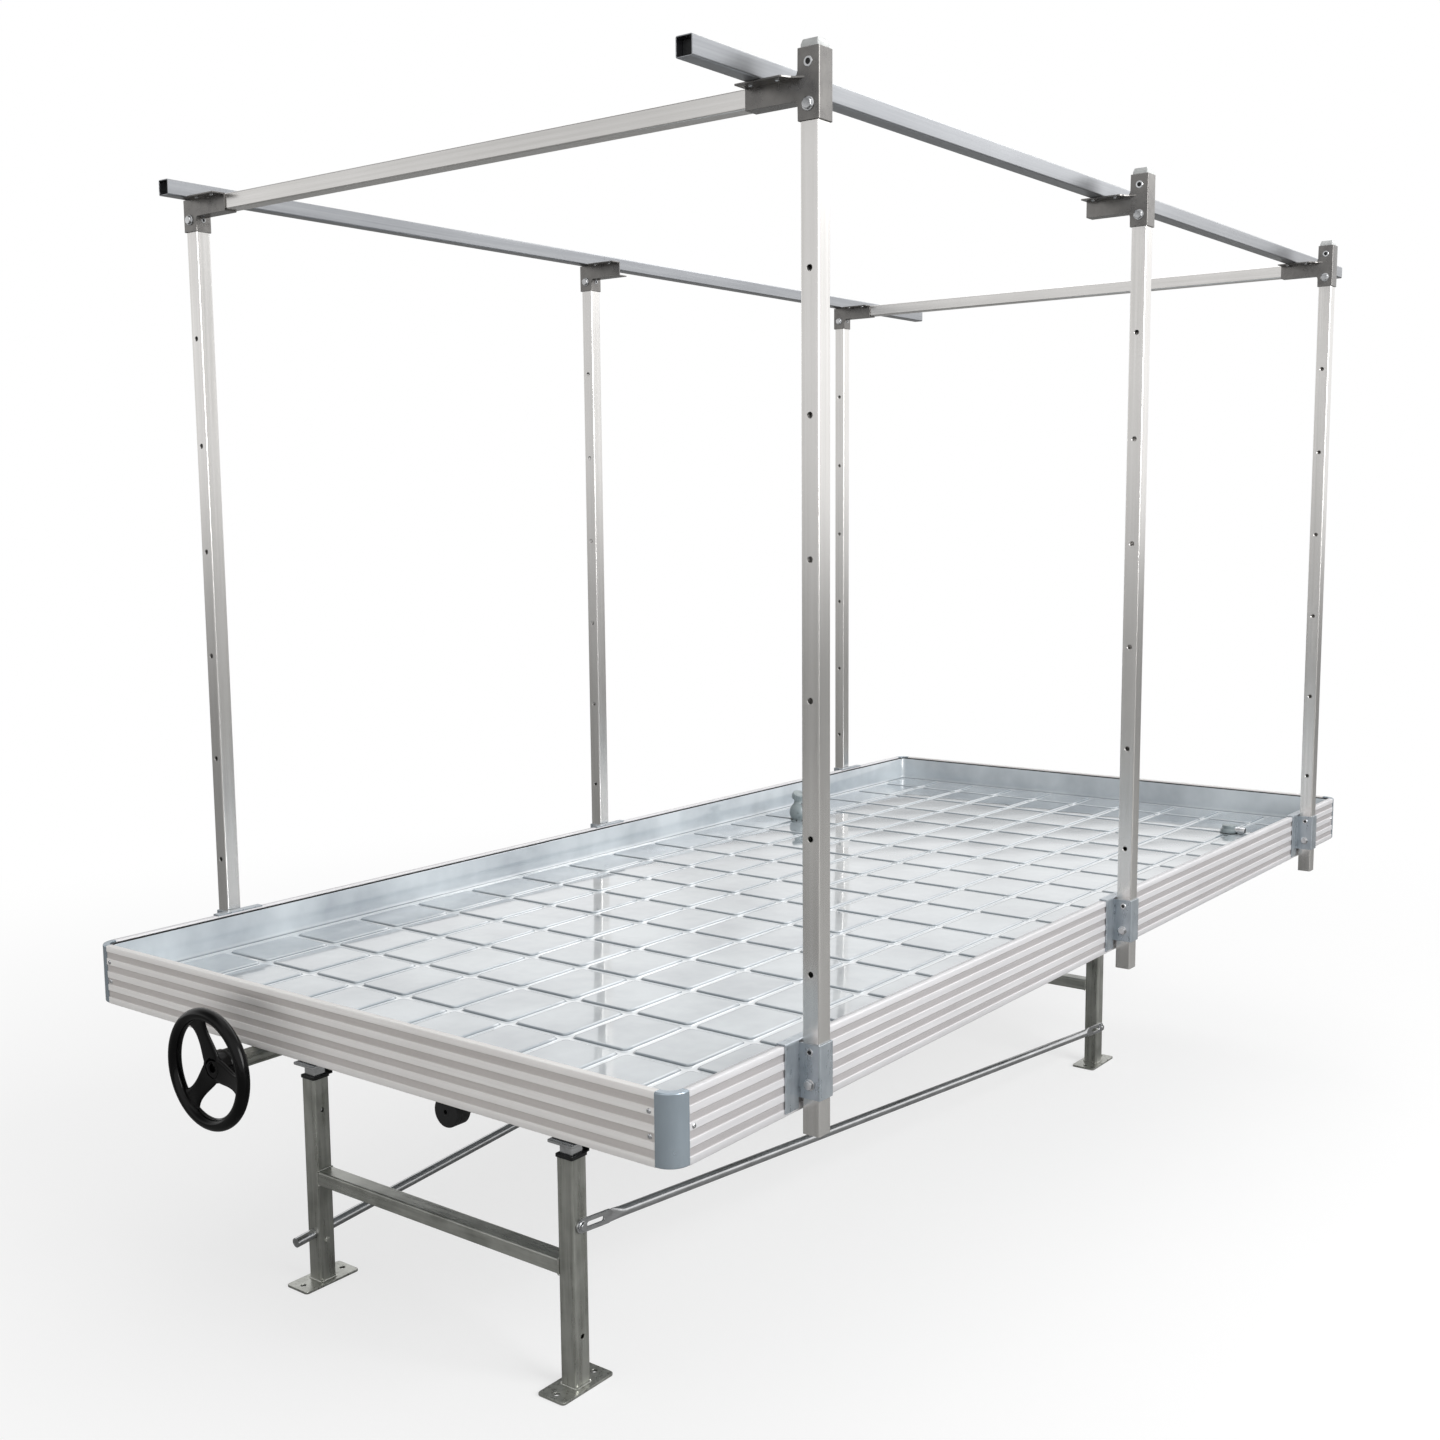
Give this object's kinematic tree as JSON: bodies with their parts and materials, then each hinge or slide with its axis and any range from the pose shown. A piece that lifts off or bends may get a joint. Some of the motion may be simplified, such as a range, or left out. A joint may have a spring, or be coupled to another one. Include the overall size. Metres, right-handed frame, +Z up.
{
  "type": "rolling grow table",
  "caption": "Rolling greenhouse bench: ribbed tray frame on roller pipes and two braced stands, with a handwheel and a square-tube plant frame over it.",
  "frame": {"origin": "middle of the bounding box at floor level", "axes": "+X to the right across the bench seen from the handwheel, +Y along the bench away from the handwheel, +Z up"},
  "size_m": [1.613, 3.4244, 2.2713],
  "materials": {
    "ribbed_aluminium": "satin, ribbed by the extrusion",
    "grey_corner": "smooth satin",
    "tray_sheet": "glossy vacuum-formed sheet",
    "fitting_plastic": "moulded",
    "galvanised_steel": "dull galvanised",
    "black_plastic": "glossy moulded",
    "bright_steel": "bright zinc plate",
    "bright_aluminium": "satin extruded",
    "zinc_steel": "blue zinc plate",
    "dark_steel": "dark grey satin",
    "pale_plastic": "moulded"
  },
  "bodies": {
    "stands": {"front_left_leg": "galvanised_steel", "front_right_leg": "galvanised_steel", "rear_left_leg": "galvanised_steel", "rear_right_leg": "galvanised_steel", "front_left_bush": "black_plastic", "front_right_bush": "black_plastic", "rear_left_bush": "black_plastic", "rear_right_bush": "black_plastic", "front_stand_bar": "galvanised_steel", "rear_stand_bar": "galvanised_steel", "left_brace": "bright_steel", "right_brace": "bright_steel"},
    "front_lift": {"front_lift_frame": "galvanised_steel"},
    "rear_lift": {"rear_lift_frame": "galvanised_steel"},
    "bench": {"left_profile": "ribbed_aluminium", "right_profile": "ribbed_aluminium", "front_profile": "ribbed_aluminium", "rear_profile": "ribbed_aluminium", "front_left_corner": "grey_corner", "front_right_corner": "grey_corner", "rear_left_corner": "grey_corner", "rear_right_corner": "grey_corner", "growing_tray": "tray_sheet", "tall_tray_fitting": "fitting_plastic", "low_tray_fitting": "fitting_plastic", "cross_member_1": "galvanised_steel", "cross_member_2": "galvanised_steel", "cross_member_3": "galvanised_steel", "cross_member_4": "galvanised_steel", "front_left_socket": "zinc_steel", "front_right_socket": "zinc_steel", "middle_left_socket": "zinc_steel", "middle_right_socket": "zinc_steel", "rear_left_socket": "zinc_steel", "rear_right_socket": "zinc_steel"},
    "left_pipe": {"left_roller_pipe": "galvanised_steel"},
    "right_pipe": {"right_roller_pipe": "galvanised_steel", "pipe_end_cup": "black_plastic"},
    "wheel": {"handwheel": "black_plastic", "wheel_cup": "black_plastic"},
    "plant_frame": {"front_left_post": "bright_aluminium", "front_right_post": "bright_aluminium", "middle_left_post": "bright_aluminium", "middle_right_post": "bright_aluminium", "rear_left_post": "bright_aluminium", "rear_right_post": "bright_aluminium", "front_left_top_bracket": "dark_steel", "front_right_top_bracket": "dark_steel", "middle_left_top_bracket": "dark_steel", "middle_right_top_bracket": "dark_steel", "rear_left_top_bracket": "dark_steel", "rear_right_top_bracket": "dark_steel", "front_post_cap": "pale_plastic", "middle_post_cap": "pale_plastic", "rear_post_cap": "pale_plastic", "front_crossbar": "bright_aluminium", "rear_crossbar": "bright_aluminium", "left_rail_front": "bright_aluminium", "left_rail_rear": "bright_aluminium", "right_rail": "bright_aluminium"}
  },
  "joints": [
    {"name": "front_height", "type": "slide", "parent": "stands", "child": "front_lift", "axis": [0, 0, 1], "range_m": [0, 0.12]},
    {"name": "rear_height", "type": "slide", "parent": "stands", "child": "rear_lift", "axis": [0, 0, 1], "range_m": [0, 0.12]},
    {"name": "bench_roll", "type": "slide", "parent": "front_lift", "child": "bench", "axis": [1, 0, 0], "range_m": [-0.22, 0.22]},
    {"name": "left_pipe_roll", "type": "slide", "parent": "front_lift", "child": "left_pipe", "axis": [1, 0, 0], "range_m": [-0.11, 0.11]},
    {"name": "right_pipe_roll", "type": "slide", "parent": "front_lift", "child": "right_pipe", "axis": [1, 0, 0], "range_m": [-0.11, 0.11]},
    {"name": "handwheel_turn", "type": "hinge", "parent": "left_pipe", "child": "wheel", "pos_m": [-0.256, -1.69975, 0.552], "axis": [0, 1, 0], "range_deg": [-380, 380]},
    {"name": "plant_frame_height", "type": "slide", "parent": "bench", "child": "plant_frame", "axis": [0, 0, 1], "range_m": [-0.45, 0.05]}
  ],
  "couplings": [
    {"joint": "rear_height", "follows": "front_height", "ratio": 1},
    {"joint": "left_pipe_roll", "follows": "bench_roll", "ratio": 0.5},
    {"joint": "right_pipe_roll", "follows": "bench_roll", "ratio": 0.5},
    {"joint": "handwheel_turn", "follows": "bench_roll", "rad_per_m": 29.94}
  ]
}
